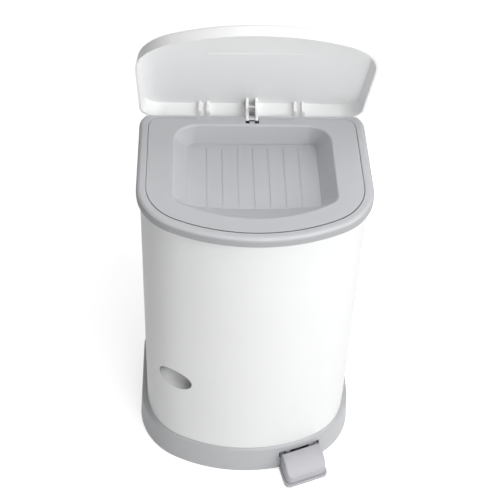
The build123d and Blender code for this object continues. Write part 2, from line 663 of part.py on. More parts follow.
# ------------------------------------------------------------------ base and its bottom
with BuildPart() as base:
    with BuildSketch(Plane.XY.offset(FOOT_PROUD)):
        d_face(BASE)
    with BuildSketch(Plane.XY.offset(BASE_TOP)):
        d_face(BASE, BASE_DRAFT)
    loft()
    fillet(base.edges().group_by(Axis.Z)[-1], BASE_SHOULDER)
    with BuildSketch(Plane.XY.offset(FOOT_PROUD)):
        d_face(BASE, BASE_WALL)
    with BuildSketch(Plane.XY.offset(BASE_TOP - BASE_WALL)):
        d_face(BASE, BASE_SHOULDER_WALL)
    loft(mode=Mode.SUBTRACT)
    with BuildSketch(Plane.XY.offset(PLATE_TOP)):
        with Locations(*PLATE_SCREWS):
            Circle(BOSS_RADIUS)
    extrude(amount=BASE_TOP - BASE_WALL - PLATE_TOP)
    with BuildSketch(Plane.XY.offset(PLATE_TOP)):
        with Locations(*PLATE_SCREWS):
            Circle(SCREW_RADIUS + SCREW_CLEARANCE)
    extrude(amount=SCREW_LENGTH, mode=Mode.SUBTRACT)
    # lugs that carry the pedal's pivot pin
    for side in (-1, 1):
        lug_edge = side * PIVOT_LUG_MIDDLE + PIVOT_LUG_THICKNESS / 2
        with BuildSketch(pedal_plane(lug_edge)):
            with Locations((PIVOT_REACH, PIVOT_HEIGHT)):
                Circle(PIVOT_EAR_RADIUS)
                Rectangle(
                    2 * PIVOT_EAR_RADIUS,
                    BASE_TOP - BASE_WALL - PIVOT_HEIGHT,
                    align=(Align.CENTER, Align.MIN),
                )
        extrude(amount=PIVOT_LUG_THICKNESS)
    with BuildSketch(pedal_plane()):
        with Locations((PIVOT_REACH, PIVOT_HEIGHT)):
            Circle(PIVOT_PIN_RADIUS + SCREW_CLEARANCE)
    extrude(amount=PIVOT_PIN_HALF, both=True, mode=Mode.SUBTRACT)
    # windows in the front wall for the lever and the pedal's side tabs
    with BuildSketch(pedal_plan_plane(WINDOW_BOTTOM)):
        with Locations((WALL_REACH, 0)):
            Rectangle(2 * WINDOW_CUT, 2 * WINDOW_RIB_INNER)
    extrude(amount=WINDOW_TOP - WINDOW_BOTTOM, mode=Mode.SUBTRACT)
    with BuildSketch(pedal_plan_plane(SIDE_WINDOW_BOTTOM)):
        with Locations((WALL_REACH, -SIDE_WINDOW_MIDDLE), (WALL_REACH, SIDE_WINDOW_MIDDLE)):
            Rectangle(2 * WINDOW_CUT, WINDOW_HALF_WIDTH - WINDOW_RIB_OUTER)
    extrude(amount=WINDOW_TOP - SIDE_WINDOW_BOTTOM, mode=Mode.SUBTRACT)
    # holes in the top for the push rod and for the screws into the rear shell
    with BuildSketch(Plane.XY.offset(BASE_TOP)):
        with Locations((0, ROD_Y)):
            Circle(ROD_RADIUS + ROD_HOLE_CLEARANCE)
        with Locations(*SHELL_SCREWS):
            Circle(SCREW_RADIUS + SCREW_CLEARANCE)
    extrude(amount=-BASE_WALL, mode=Mode.SUBTRACT)
base.part.label = "base"
export_step(base.part, "parts/base.step")

with BuildPart() as bottom_plate:
    with BuildSketch(Plane.XY.offset(FOOT_PROUD)):
        d_face(BASE, BASE_WALL + PLATE_CLEARANCE)
    extrude(amount=PLATE_THICKNESS)
    with BuildSketch(Plane.XY.offset(FOOT_PROUD)):
        with Locations(*PLATE_SCREWS):
            Circle(SCREW_HEAD_RADIUS + SCREW_CLEARANCE)
        with Locations(*FEET):
            Circle(FOOT_RADIUS)
    extrude(amount=FOOT_SEAT, mode=Mode.SUBTRACT)
    with BuildSketch(Plane.XY.offset(FOOT_PROUD)):
        with Locations(*PLATE_SCREWS):
            Circle(SCREW_RADIUS + SCREW_CLEARANCE)
    extrude(amount=PLATE_THICKNESS, mode=Mode.SUBTRACT)
bottom_plate.part.label = "bottom_plate"
export_step(bottom_plate.part, "parts/bottom_plate.step")

with BuildPart() as rubber_feet:
    with BuildSketch():
        with Locations(*FEET):
            Circle(FOOT_RADIUS)
    extrude(amount=FOOT_PROUD + FOOT_SEAT)
rubber_feet.part.label = "rubber_feet"
export_step(rubber_feet.part, "parts/rubber_feet.step")

plate_screws = screws(Plane.XY.offset(FOOT_PROUD + FOOT_SEAT - SCREW_HEAD_HEIGHT), PLATE_SCREWS)
plate_screws.part.label = "plate_screws"
export_step(plate_screws.part, "parts/plate_screws.step")

# ------------------------------------------------------------------ pedal and lever
with BuildPart() as pedal_lever:
    with BuildSketch(pedal_plan_plane(LEVER_BOTTOM)):
        with Locations(((LEVER_FRONT - LEVER_TAIL) / 2, 0)):
            Rectangle(LEVER_FRONT + LEVER_TAIL, 2 * LEVER_HALF_WIDTH)
    extrude(amount=LEVER_THICKNESS)
    fillet(pedal_lever.edges().filter_by(Axis.Z), LEVER_TAIL / 2)
    with BuildSketch(pedal_plan_plane(LEVER_BOTTOM + LEVER_THICKNESS)):
        Circle(BUMP_RADIUS)
    extrude(amount=SHOE_BOTTOM - ROD_CONTACT_GAP - LEVER_BOTTOM - LEVER_THICKNESS)
    fillet(pedal_lever.edges().group_by(Axis.Z)[-1], BUMP_ROUND)
    for side in (-1, 1):
        ear_edge = side * (LEVER_HALF_WIDTH - PIVOT_EAR_THICKNESS / 2) + PIVOT_EAR_THICKNESS / 2
        with BuildSketch(pedal_plane(ear_edge)):
            with Locations((PIVOT_REACH, PIVOT_HEIGHT)):
                Circle(PIVOT_EAR_RADIUS)
                Rectangle(
                    2 * PIVOT_EAR_RADIUS,
                    PIVOT_HEIGHT - LEVER_BOTTOM,
                    align=(Align.CENTER, Align.MAX),
                )
        extrude(amount=PIVOT_EAR_THICKNESS)
    with BuildSketch(pedal_plane()):
        with Locations((PIVOT_REACH, PIVOT_HEIGHT)):
            Circle(PIVOT_PIN_RADIUS + PIN_CLEARANCE)
    extrude(amount=LEVER_HALF_WIDTH, both=True, mode=Mode.SUBTRACT)
    with BuildSketch(pedal_plan_plane(LEVER_BOTTOM)):
        with Locations(*PEDAL_SCREWS):
            Circle(SCREW_RADIUS + SCREW_CLEARANCE)
    extrude(amount=LEVER_THICKNESS, mode=Mode.SUBTRACT)
pedal_lever.part.label = "pedal_lever"
export_step(pedal_lever.part, "parts/pedal_lever.step")

with BuildPart() as pedal_pin:
    with BuildSketch(pedal_plane()):
        with Locations((PIVOT_REACH, PIVOT_HEIGHT)):
            Circle(PIVOT_PIN_RADIUS)
    extrude(amount=PIVOT_PIN_HALF, both=True)
pedal_pin.part.label = "pedal_pin"
export_step(pedal_pin.part, "parts/pedal_pin.step")

with BuildPart() as pedal:
    with BuildSketch(pedal_plan_plane(PEDAL_BOTTOM)):
        pedal_face()
    extrude(amount=2 * PEDAL_BACK_TOP)
    with BuildSketch(pedal_plane()):
        with BuildLine():
            ThreePointArc(
                (PEDAL_HEEL, PEDAL_BACK_TOP),
                (PEDAL_HEEL + PEDAL_REACH / 2, PEDAL_CROWN),
                (PEDAL_TIP, PEDAL_FRONT_TOP),
            )
            Polyline(
                (PEDAL_TIP, PEDAL_FRONT_TOP),
                (PEDAL_TIP, PEDAL_BOTTOM),
                (PEDAL_HEEL, PEDAL_BOTTOM),
                (PEDAL_HEEL, PEDAL_BACK_TOP),
            )
        make_face()
    extrude(amount=2 * PEDAL_HALF_WIDTH, both=True, mode=Mode.INTERSECT)
    pad_top = pedal.faces().sort_by(Axis.Z)[-1]
    fillet(pad_top.edges(), PEDAL_EDGE)
    with BuildSketch(pedal_plan_plane(PEDAL_BOTTOM + PEDAL_LIP_THICKNESS)):
        pedal_face(PEDAL_LIP)
        pedal_face(-PEDAL_GROOVE, mode=Mode.SUBTRACT)
    extrude(amount=PEDAL_GROOVE_HEIGHT, mode=Mode.SUBTRACT)
    with BuildSketch(pedal_plan_plane(PEDAL_BOTTOM)):
        pedal_face(PEDAL_LIP)
    extrude(amount=PEDAL_LIP_THICKNESS)
    for side in (-1, 1):
        tab_edge = side * SIDE_TAB_PLACE + SIDE_TAB_WIDTH / 2
        with BuildSketch(pedal_plane(tab_edge)):
            with Locations((PEDAL_HEEL - SIDE_TAB_DEPTH, SIDE_TAB_BOTTOM)):
                Rectangle(
                    SIDE_TAB_DEPTH + PEDAL_CORNER,
                    SIDE_TAB_THICKNESS,
                    align=(Align.MIN, Align.MIN),
                )
        extrude(amount=SIDE_TAB_WIDTH)
    # socket for the lever, and the screws that hold it
    with BuildSketch(pedal_plan_plane(LEVER_BOTTOM - LEVER_CLEARANCE)):
        with Locations((PEDAL_HEEL, 0)):
            Rectangle(
                LEVER_FRONT - PEDAL_HEEL + LEVER_CLEARANCE,
                2 * (LEVER_HALF_WIDTH + LEVER_CLEARANCE),
                align=(Align.MIN, Align.CENTER),
            )
    extrude(amount=LEVER_THICKNESS + 2 * LEVER_CLEARANCE, mode=Mode.SUBTRACT)
    with BuildSketch(pedal_plan_plane(PEDAL_BOTTOM)):
        with Locations(*PEDAL_SCREWS):
            Circle(SCREW_HEAD_RADIUS + SCREW_CLEARANCE)
    extrude(amount=PEDAL_SCREW_LEVEL + SCREW_HEAD_HEIGHT - PEDAL_BOTTOM, mode=Mode.SUBTRACT)
    with BuildSketch(pedal_plan_plane(PEDAL_SCREW_LEVEL + SCREW_HEAD_HEIGHT)):
        with Locations(*PEDAL_SCREWS):
            Circle(SCREW_RADIUS + SCREW_CLEARANCE)
    extrude(amount=SCREW_LENGTH, mode=Mode.SUBTRACT)
pedal.part.label = "pedal"
export_step(pedal.part, "parts/pedal.step")

pedal_screws = screws(pedal_plan_plane(PEDAL_SCREW_LEVEL), PEDAL_SCREWS)
pedal_screws.part.label = "pedal_screws"
export_step(pedal_screws.part, "parts/pedal_screws.step")

# ------------------------------------------------------------------ push rod
with BuildPart() as push_rod:
    with BuildSketch(Plane.XY.offset(SHOE_BOTTOM + SHOE_HEIGHT / 2)):
        with Locations((0, ROD_Y)):
            Circle(ROD_RADIUS)
    extrude(amount=ROD_HEAD_TOP - ROD_HEAD_THICKNESS - SHOE_BOTTOM - SHOE_HEIGHT / 2)
    with BuildSketch(Plane.XY.offset(ROD_HEAD_TOP - ROD_HEAD_THICKNESS)):
        with Locations((0, HINGE_Y + ROD_HEAD_BACK)):
            Rectangle(
                ROD_HEAD_WIDTH,
                ROD_HEAD_FRONT + ROD_HEAD_BACK,
                align=(Align.CENTER, Align.MAX),
            )
    extrude(amount=ROD_HEAD_THICKNESS)
    with BuildSketch(Plane.XY.offset(ROD_HEAD_TOP)):
        with Locations((0, HINGE_Y + ROD_HEAD_BACK)):
            Rectangle(ROD_HEAD_WIDTH, ROD_FIN_THICKNESS, align=(Align.CENTER, Align.MAX))
    extrude(amount=HINGE_Z + ROD_FIN_TOP - ROD_HEAD_TOP)
push_rod.part.label = "push_rod"
export_step(push_rod.part, "parts/push_rod.step")

with BuildPart() as rod_shoe:
    with BuildSketch(Plane.XY.offset(SHOE_BOTTOM)):
        with Locations((0, ROD_Y)):
            Circle(SHOE_RADIUS)
    extrude(amount=SHOE_HEIGHT)
    fillet(rod_shoe.edges().group_by(Axis.Z)[-1], SHOE_ROUND)
    with BuildSketch(Plane.XY.offset(SHOE_BOTTOM + SHOE_HEIGHT / 2)):
        with Locations((0, ROD_Y)):
            Circle(ROD_RADIUS + SCREW_CLEARANCE)
    extrude(amount=SHOE_HEIGHT / 2, mode=Mode.SUBTRACT)
rod_shoe.part.label = "rod_shoe"
export_step(rod_shoe.part, "parts/rod_shoe.step")

with BuildPart() as rod_guides:
    for height in GUIDE_HEIGHTS:
        with BuildSketch(Plane.XY.offset(height)):
            with Locations((0, BODY_BACK_INSIDE)):
                Rectangle(GUIDE_WIDTH, BODY_BACK_INSIDE - ROD_Y, align=(Align.CENTER, Align.MAX))
            with Locations((0, ROD_Y)):
                Circle(GUIDE_WIDTH / 2)
                Circle(ROD_RADIUS + ROD_CLEARANCE, mode=Mode.SUBTRACT)
        extrude(amount=GUIDE_THICKNESS)
rod_guides.part.label = "rod_guides"
export_step(rod_guides.part, "parts/rod_guides.step")

# ------------------------------------------------------------------ rear shell
with BuildPart() as rear_shell:
    with BuildSketch(Plane.XY.offset(BASE_TOP)):
        d_face(BODY)
        d_face(BODY, BODY_WALL, mode=Mode.SUBTRACT)
        keep_between(SEAM_Y, RIM_BACK)
    extrude(amount=BODY_HEIGHT)
    with BuildSketch(Plane.XY.offset(BASE_TOP)):
        d_face(BODY, BODY_WALL)
        d_face(BODY, BODY_WALL + FLANGE_WIDTH, mode=Mode.SUBTRACT)
        keep_between(SEAM_Y, RIM_BACK)
    extrude(amount=FLANGE_THICKNESS)
    with BuildSketch(Plane.XY.offset(RING_BOTTOM)):
        d_face(BODY, BODY_WALL)
        d_face(BODY, BODY_WALL + FLANGE_WIDTH, mode=Mode.SUBTRACT)
        keep_between(SEAM_Y, BODY.back - BODY_BACK_RADIUS)
    extrude(amount=-FLANGE_THICKNESS)
    with BuildSketch(Plane.XY.offset(BASE_TOP)):
        with Locations(*SHELL_SCREWS):
            Circle(BOSS_RADIUS)
    extrude(amount=SCREW_LENGTH)
    with BuildSketch(Plane.XY.offset(BASE_TOP)):
        with Locations(*SHELL_SCREWS):
            Circle(SCREW_RADIUS + SCREW_CLEARANCE)
    extrude(amount=SCREW_LENGTH, mode=Mode.SUBTRACT)
    with BuildSketch(Plane.XY.offset(RING_BOTTOM)):
        with Locations(*SHELL_SCREWS):
            Circle(SCREW_RADIUS + SCREW_CLEARANCE)
    extrude(amount=-FLANGE_THICKNESS, mode=Mode.SUBTRACT)
    # notches under the lid's ears
    with BuildSketch(Plane.XY.offset(RING_BOTTOM)):
        ear_notches(HINGE_Y, HINGE_Y)
    extrude(amount=HINGE_Z - NOTCH_DEPTH - RING_BOTTOM, mode=Mode.SUBTRACT)
    # room for the door's knuckles, then the shell's own above and below them
    for height in DOOR_HINGE_HEIGHTS:
        with BuildSketch(Plane.XY.offset(height - DOOR_KNUCKLE_LENGTH / 2 - SIDE_PLAY)):
            with Locations(DOOR_AXIS):
                Circle(DOOR_KNUCKLE_RADIUS + DOOR_GAP)
        extrude(amount=DOOR_KNUCKLE_LENGTH + 2 * SIDE_PLAY, mode=Mode.SUBTRACT)
        for level in shell_knuckle_levels(height):
            with BuildSketch(Plane.XY.offset(level)):
                with Locations(DOOR_AXIS):
                    Circle(DOOR_KNUCKLE_RADIUS)
            extrude(amount=SHELL_KNUCKLE_LENGTH)
            with BuildSketch(Plane.XY.offset(level)):
                with Locations(DOOR_AXIS):
                    Circle(DOOR_PIN_RADIUS + SCREW_CLEARANCE)
            extrude(amount=SHELL_KNUCKLE_LENGTH, mode=Mode.SUBTRACT)
    # holes for the cassette holder's screws
    with BuildSketch(BACK_FACE):
        with Locations(*TAB_SCREWS):
            Circle(SCREW_RADIUS + SCREW_CLEARANCE)
    extrude(amount=BODY_WALL, mode=Mode.SUBTRACT)
rear_shell.part.label = "rear_shell"
export_step(rear_shell.part, "parts/rear_shell.step")

base_screws = screws(Plane.XY.offset(BASE_TOP - BASE_WALL - SCREW_HEAD_HEIGHT), SHELL_SCREWS)
base_screws.part.label = "base_screws"
export_step(base_screws.part, "parts/base_screws.step")

ring_screws = screws(Plane.XY.offset(RING_BOTTOM - FLANGE_THICKNESS - SCREW_HEAD_HEIGHT), SHELL_SCREWS)
ring_screws.part.label = "ring_screws"
export_step(ring_screws.part, "parts/ring_screws.step")

with BuildPart() as door_catch:
    with BuildSketch(Plane.XY.offset(CATCH_HEIGHT - CATCH_LENGTH / 2)):
        with Locations((CATCH_WALL_X, SEAM_Y + DOOR_GAP)):
            Rectangle(CATCH_DEPTH, CATCH_DEPTH + TONGUE_REACH, align=(Align.MIN, Align.MIN))
        with Locations((TONGUE_X, SEAM_Y + DOOR_GAP)):
            Rectangle(
                TONGUE_THICKNESS + 2 * SIDE_PLAY,
                TONGUE_REACH,
                align=(Align.CENTER, Align.MIN),
                mode=Mode.SUBTRACT,
            )
    extrude(amount=CATCH_LENGTH)
door_catch.part.label = "door_catch"
export_step(door_catch.part, "parts/door_catch.step")

# ------------------------------------------------------------------ front door
with BuildPart() as door:
    with BuildSketch(Plane.XY.offset(BASE_TOP + DOOR_GAP)):
        d_face(BODY)
        d_face(BODY, BODY_WALL, mode=Mode.SUBTRACT)
        keep_between(RIM_FRONT, SEAM_Y - DOOR_GAP)
    extrude(amount=BODY_HEIGHT - 2 * DOOR_GAP)
    for level in (BASE_TOP + DOOR_GAP, RING_BOTTOM - DOOR_GAP - FLANGE_THICKNESS):
        with BuildSketch(Plane.XY.offset(level)):
            d_face(BODY, BODY_WALL)
            d_face(BODY, BODY_WALL + DOOR_FLANGE_WIDTH, mode=Mode.SUBTRACT)
            keep_between(RIM_FRONT, SEAM_Y - DOOR_GAP)
        extrude(amount=FLANGE_THICKNESS)
    # pocket behind the finger recess, trimmed to the body's face
    with BuildSketch(RECESS_FRAME):
        oval_face(RECESS_LENGTH + 2 * RECESS_WALL, RECESS_RADIUS + RECESS_WALL)
    revolve(axis=RECESS_AXIS)
    with BuildSketch(Plane.XY.offset(BASE_TOP)):
        d_face(BODY)
    extrude(amount=BODY_HEIGHT, mode=Mode.INTERSECT)
    with BuildSketch(RECESS_FRAME):
        oval_face(RECESS_LENGTH, RECESS_RADIUS)
    revolve(axis=RECESS_AXIS, mode=Mode.SUBTRACT)
    # tongue that snaps into the catch
    with BuildSketch(Plane.XY.offset(CATCH_HEIGHT - CATCH_LENGTH / 2 + TONGUE_END_GAP)):
        with Locations((TONGUE_X, SEAM_Y + TONGUE_REACH - DOOR_GAP)):
            Rectangle(TONGUE_THICKNESS, 2 * TONGUE_REACH, align=(Align.CENTER, Align.MAX))
        with Locations((CATCH_WALL_X, SEAM_Y - DOOR_GAP)):
            Rectangle(
                TONGUE_X - CATCH_WALL_X,
                TONGUE_REACH - DOOR_GAP,
                align=(Align.MIN, Align.MAX),
            )
    extrude(amount=CATCH_LENGTH - 2 * TONGUE_END_GAP)
    # room for the shell's knuckles, then the door's own between them
    for height in DOOR_HINGE_HEIGHTS:
        for level in shell_knuckle_levels(height):
            with BuildSketch(Plane.XY.offset(level - SIDE_PLAY)):
                with Locations(DOOR_AXIS):
                    Circle(DOOR_KNUCKLE_RADIUS + DOOR_GAP)
            extrude(amount=SHELL_KNUCKLE_LENGTH + 2 * SIDE_PLAY, mode=Mode.SUBTRACT)
        with BuildSketch(Plane.XY.offset(height - DOOR_KNUCKLE_LENGTH / 2)):
            with Locations(DOOR_AXIS):
                Circle(DOOR_KNUCKLE_RADIUS)
        extrude(amount=DOOR_KNUCKLE_LENGTH)
        with BuildSketch(Plane.XY.offset(height - DOOR_KNUCKLE_LENGTH / 2)):
            with Locations(DOOR_AXIS):
                Circle(DOOR_PIN_RADIUS + PIN_CLEARANCE)
        extrude(amount=DOOR_KNUCKLE_LENGTH, mode=Mode.SUBTRACT)
door.part.label = "door"
export_step(door.part, "parts/door.step")

with BuildPart() as door_pins:
    for height in DOOR_HINGE_HEIGHTS:
        lowest, highest = shell_knuckle_levels(height)
        with BuildSketch(Plane.XY.offset(lowest)):
            with Locations(DOOR_AXIS):
                Circle(DOOR_PIN_RADIUS)
        extrude(amount=highest + SHELL_KNUCKLE_LENGTH - lowest)
door_pins.part.label = "door_pins"
export_step(door_pins.part, "parts/door_pins.step")

# ------------------------------------------------------------------ top ring and seal
with BuildPart() as top_ring:
    with BuildSketch(Plane.XY.offset(RING_BOTTOM)):
        d_face(RIM)
    extrude(amount=RIM_BAND)
    fillet(top_ring.edges().group_by(Axis.Z)[-1], RIM_ROUND)
    fillet(top_ring.edges().group_by(Axis.Z)[0], RIM_FOOT_ROUND)
    with BuildSketch(side_plane(HINGE_FRAME, 0)):
        Polygon(
            (HINGE_FROM_BACK - RIM_SLOPE_DEPTH, HINGE_BELOW_RIM),
            (HINGE_FROM_BACK + RIM_SLOPE_DEPTH, HINGE_BELOW_RIM - 2 * RIM_SLOPE_DROP),
            (HINGE_FROM_BACK + RIM_SLOPE_DEPTH, HINGE_BELOW_RIM),
            align=None,
        )
    extrude(amount=RIM_HALF_WIDTH, both=True, mode=Mode.SUBTRACT)
    with BuildSketch(Plane.XY.offset(LEDGE_TOP)):
        d_face(MOUTH)
    extrude(amount=RIM_BAND - LEDGE_THICKNESS, mode=Mode.SUBTRACT)
    with BuildSketch(Plane.XY.offset(RING_BOTTOM)):
        d_face(MOUTH, LEDGE_WIDTH)
    extrude(amount=LEDGE_THICKNESS, mode=Mode.SUBTRACT)
    fillet(top_ring.faces().sort_by(Axis.Z)[-1].inner_wires()[0].edges(), MOUTH_ROUND)
    with BuildSketch(Plane.XY.offset(HINGE_Z - APRON_DEPTH)):
        with Locations((0, BODY_BACK_INSIDE)):
            Rectangle(
                2 * APRON_HALF_WIDTH,
                APRON_THICKNESS,
                align=(Align.CENTER, Align.MAX),
            )
    extrude(amount=RING_BOTTOM + LEDGE_THICKNESS / 2 - HINGE_Z + APRON_DEPTH)
    for place in HINGE_PLACES:
        for edge in (place - SIDE_NOTCH - RING_BOSS_WIDTH, place + SIDE_NOTCH):
            with BuildSketch(side_plane(HINGE_FRAME, edge)):
                Circle(RING_BOSS_RADIUS)
            extrude(amount=RING_BOSS_WIDTH)
    with BuildSketch(Plane.XY.offset(HINGE_Z - NOTCH_DEPTH)):
        ear_notches(HINGE_Y - NOTCH_REACH, HINGE_Y - NOTCH_REACH)
    extrude(amount=RIM_HEIGHT - HINGE_Z + NOTCH_DEPTH, mode=Mode.SUBTRACT)
    with BuildSketch(Plane.XY.offset(HINGE_Z - APRON_DEPTH)):
        with Locations((0, BODY_BACK_INSIDE - APRON_THICKNESS)):
            Rectangle(
                2 * (CENTRE_NOTCH + LEDGE_WIDTH),
                SCREEN_THICKNESS,
                align=(Align.CENTER, Align.MAX),
            )
    extrude(amount=RING_BOTTOM - HINGE_Z + APRON_DEPTH)
    with BuildSketch(Plane.XY.offset(RING_BOTTOM)):
        with Locations((0, BODY_BACK_INSIDE - APRON_THICKNESS)):
            Rectangle(2 * CENTRE_NOTCH, SCREEN_THICKNESS, align=(Align.CENTER, Align.MAX))
    extrude(amount=HINGE_Z - SCREEN_TOP - RING_BOTTOM)
    for place in HINGE_PLACES:
        with BuildSketch(side_plane(HINGE_FRAME, place)):
            Circle(HINGE_PIN_RADIUS + SCREW_CLEARANCE)
        extrude(amount=HINGE_PIN_HALF, both=True, mode=Mode.SUBTRACT)
    with BuildSketch(Plane.XY.offset(RING_BOTTOM)):
        with Locations(*SHELL_SCREWS):
            Circle(SCREW_RADIUS + SCREW_CLEARANCE)
    extrude(amount=SCREW_LENGTH - FLANGE_THICKNESS, mode=Mode.SUBTRACT)
top_ring.part.label = "top_ring"
export_step(top_ring.part, "parts/top_ring.step")

with BuildPart() as panel_seal:
    with BuildSketch(Plane.XY.offset(LEDGE_TOP)):
        d_face(MOUTH, SEAL_INSET)
        d_face(MOUTH, LEDGE_WIDTH - SEAL_INSET, mode=Mode.SUBTRACT)
        with Locations((0, MOUTH.back)):
            Rectangle(
                2 * (HINGE_PLACES[-1] + SIDE_NOTCH),
                2 * LEDGE_WIDTH,
                mode=Mode.SUBTRACT,
            )
    extrude(amount=PANEL_BOTTOM - SEAL_GAP - LEDGE_TOP)
panel_seal.part.label = "panel_seal"
export_step(panel_seal.part, "parts/panel_seal.step")

# ------------------------------------------------------------------ inner panel and trap
with BuildPart() as inner_panel:
    with BuildSketch(Plane.XY.offset(PANEL_BOTTOM)):
        d_face(PANEL, PANEL_GAP + PANEL_TAPER)
    with BuildSketch(Plane.XY.offset(RIM_HEIGHT)):
        d_face(PANEL, PANEL_GAP)
    loft(ruled=True)
    with BuildSketch(Plane.XY.offset(FLOOR_Z)):
        d_face(TRAY_FLOOR, -TRAY_WALL)
    with BuildSketch(Plane.XY.offset(RIM_HEIGHT)):
        d_face(TRAY, -TRAY_WALL)
    loft(ruled=True)
    with BuildSketch(Plane.XY.offset(FLOOR_Z)):
        d_face(TRAY_FLOOR)
    with BuildSketch(Plane.XY.offset(RIM_HEIGHT)):
        d_face(TRAY)
    loft(ruled=True, mode=Mode.SUBTRACT)
    deck = inner_panel.faces().sort_by(Axis.Z)[-1]
    fillet(deck.inner_wires()[0].edges(), TRAY_LIP)
    # back edge cut clear of the ring and of the centre ears
    with BuildSketch(side_plane(HINGE_FRAME, 0)):
        Circle(PANEL_HEEL_RADIUS)
    extrude(amount=RIM_HALF_WIDTH, both=True, mode=Mode.SUBTRACT)
    with BuildSketch(Plane.XY.offset(PANEL_BOTTOM)):
        with Locations((0, HINGE_Y - PANEL_CENTRE_NOTCH)):
            Rectangle(2 * CENTRE_NOTCH, RIM_BACK_WIDTH, align=(Align.CENTER, Align.MIN))
    extrude(amount=PANEL_THICKNESS, mode=Mode.SUBTRACT)
    # tongues over the side hinges, and lugs down to the pins
    with BuildSketch(Plane.XY.offset(PANEL_BOTTOM)):
        for place in HINGE_PLACES:
            with Locations((place, HINGE_Y - PANEL_TONGUE_END)):
                Rectangle(
                    2 * (SIDE_NOTCH - PANEL_GAP),
                    PANEL_LUG_FRONT + PANEL_LUG_REACH - PANEL_TONGUE_END,
                    align=(Align.CENTER, Align.MAX),
                )
    extrude(amount=PANEL_THICKNESS)
    for place in HINGE_PLACES:
        with BuildSketch(side_plane(HINGE_FRAME, place)):
            Circle(KNUCKLE_RADIUS)
            with Locations((-PANEL_LUG_FRONT, PANEL_BOTTOM - HINGE_Z)):
                Rectangle(PANEL_LUG_REACH, PANEL_THICKNESS, align=(Align.MAX, Align.MIN))
            make_hull()
        extrude(amount=PANEL_LUG_WIDTH / 2, both=True)
        with BuildSketch(side_plane(HINGE_FRAME, place)):
            Circle(HINGE_PIN_RADIUS + PIN_CLEARANCE)
        extrude(amount=PANEL_LUG_WIDTH / 2, both=True, mode=Mode.SUBTRACT)
    # arms that carry the trap's pin
    for edge in TRAP_LUG_EDGES:
        with BuildSketch(side_plane(TRAP_FRAME, edge)):
            Circle(TRAP_KNUCKLE_RADIUS)
            with Locations((0, -TRAP_KNUCKLE_RADIUS)):
                Rectangle(TRAP_ARM_BACK, 2 * TRAP_KNUCKLE_RADIUS, align=(Align.MIN, Align.MIN))
            with Locations((TRAP_ARM_BACK, -TRAP_KNUCKLE_RADIUS)):
                Rectangle(TRAY_WALL, TRAP_ARM_HEIGHT, align=(Align.MAX, Align.MIN))
            Circle(TRAP_PIN_RADIUS + SCREW_CLEARANCE, mode=Mode.SUBTRACT)
        extrude(amount=TRAP_LUG_WIDTH)
inner_panel.part.label = "inner_panel"
export_step(inner_panel.part, "parts/inner_panel.step")

with BuildPart() as trap_flap:
    with BuildSketch(Plane.XY.offset(TRAP_TOP)):
        d_face(TRAY_FLOOR._replace(back=TRAP_FRAME.origin.Y - TRAP_LAP), -TRAP_LAP)
    extrude(amount=-TRAP_THICKNESS)
    with BuildSketch(Plane.XY.offset(TRAP_TOP)):
        with GridLocations(GROOVE_PITCH, 1, GROOVE_COUNT, 1):
            with Locations((0, RIM_BACK - (GROOVE_BACK + GROOVE_FRONT) / 2)):
                Rectangle(GROOVE_WIDTH, GROOVE_FRONT - GROOVE_BACK)
    extrude(amount=-GROOVE_DEPTH, mode=Mode.SUBTRACT)
    for place in TRAP_KNUCKLE_PLACES:
        with BuildSketch(side_plane(TRAP_FRAME, place)):
            Circle(TRAP_KNUCKLE_RADIUS)
            Rectangle(
                2 * TRAP_KNUCKLE_RADIUS,
                TRAP_AXIS_DROP - TRAP_GAP - TRAP_THICKNESS,
                align=(Align.CENTER, Align.MIN),
            )
            Circle(TRAP_PIN_RADIUS + PIN_CLEARANCE, mode=Mode.SUBTRACT)
        extrude(amount=TRAP_KNUCKLE_WIDTH / 2, both=True)
trap_flap.part.label = "trap_flap"
export_step(trap_flap.part, "parts/trap_flap.step")

with BuildPart() as trap_pin:
    with BuildSketch(side_plane(TRAP_FRAME, 0)):
        Circle(TRAP_PIN_RADIUS)
    extrude(amount=TRAP_PIN_HALF, both=True)
trap_pin.part.label = "trap_pin"
export_step(trap_pin.part, "parts/trap_pin.step")

with BuildPart() as trap_spring:
    with BuildLine() as coil:
        Helix(
            SPRING_PITCH,
            SPRING_PITCH * SPRING_TURNS,
            SPRING_COIL_RADIUS,
            center=SPRING_START,
            direction=(1, 0, 0),
        )
    with BuildSketch(Plane(origin=coil.line @ 0, z_dir=coil.line % 0)):
        Circle(SPRING_WIRE_RADIUS)
    sweep(is_frenet=True)
trap_spring.part.label = "trap_spring"
export_step(trap_spring.part, "parts/trap_spring.step")

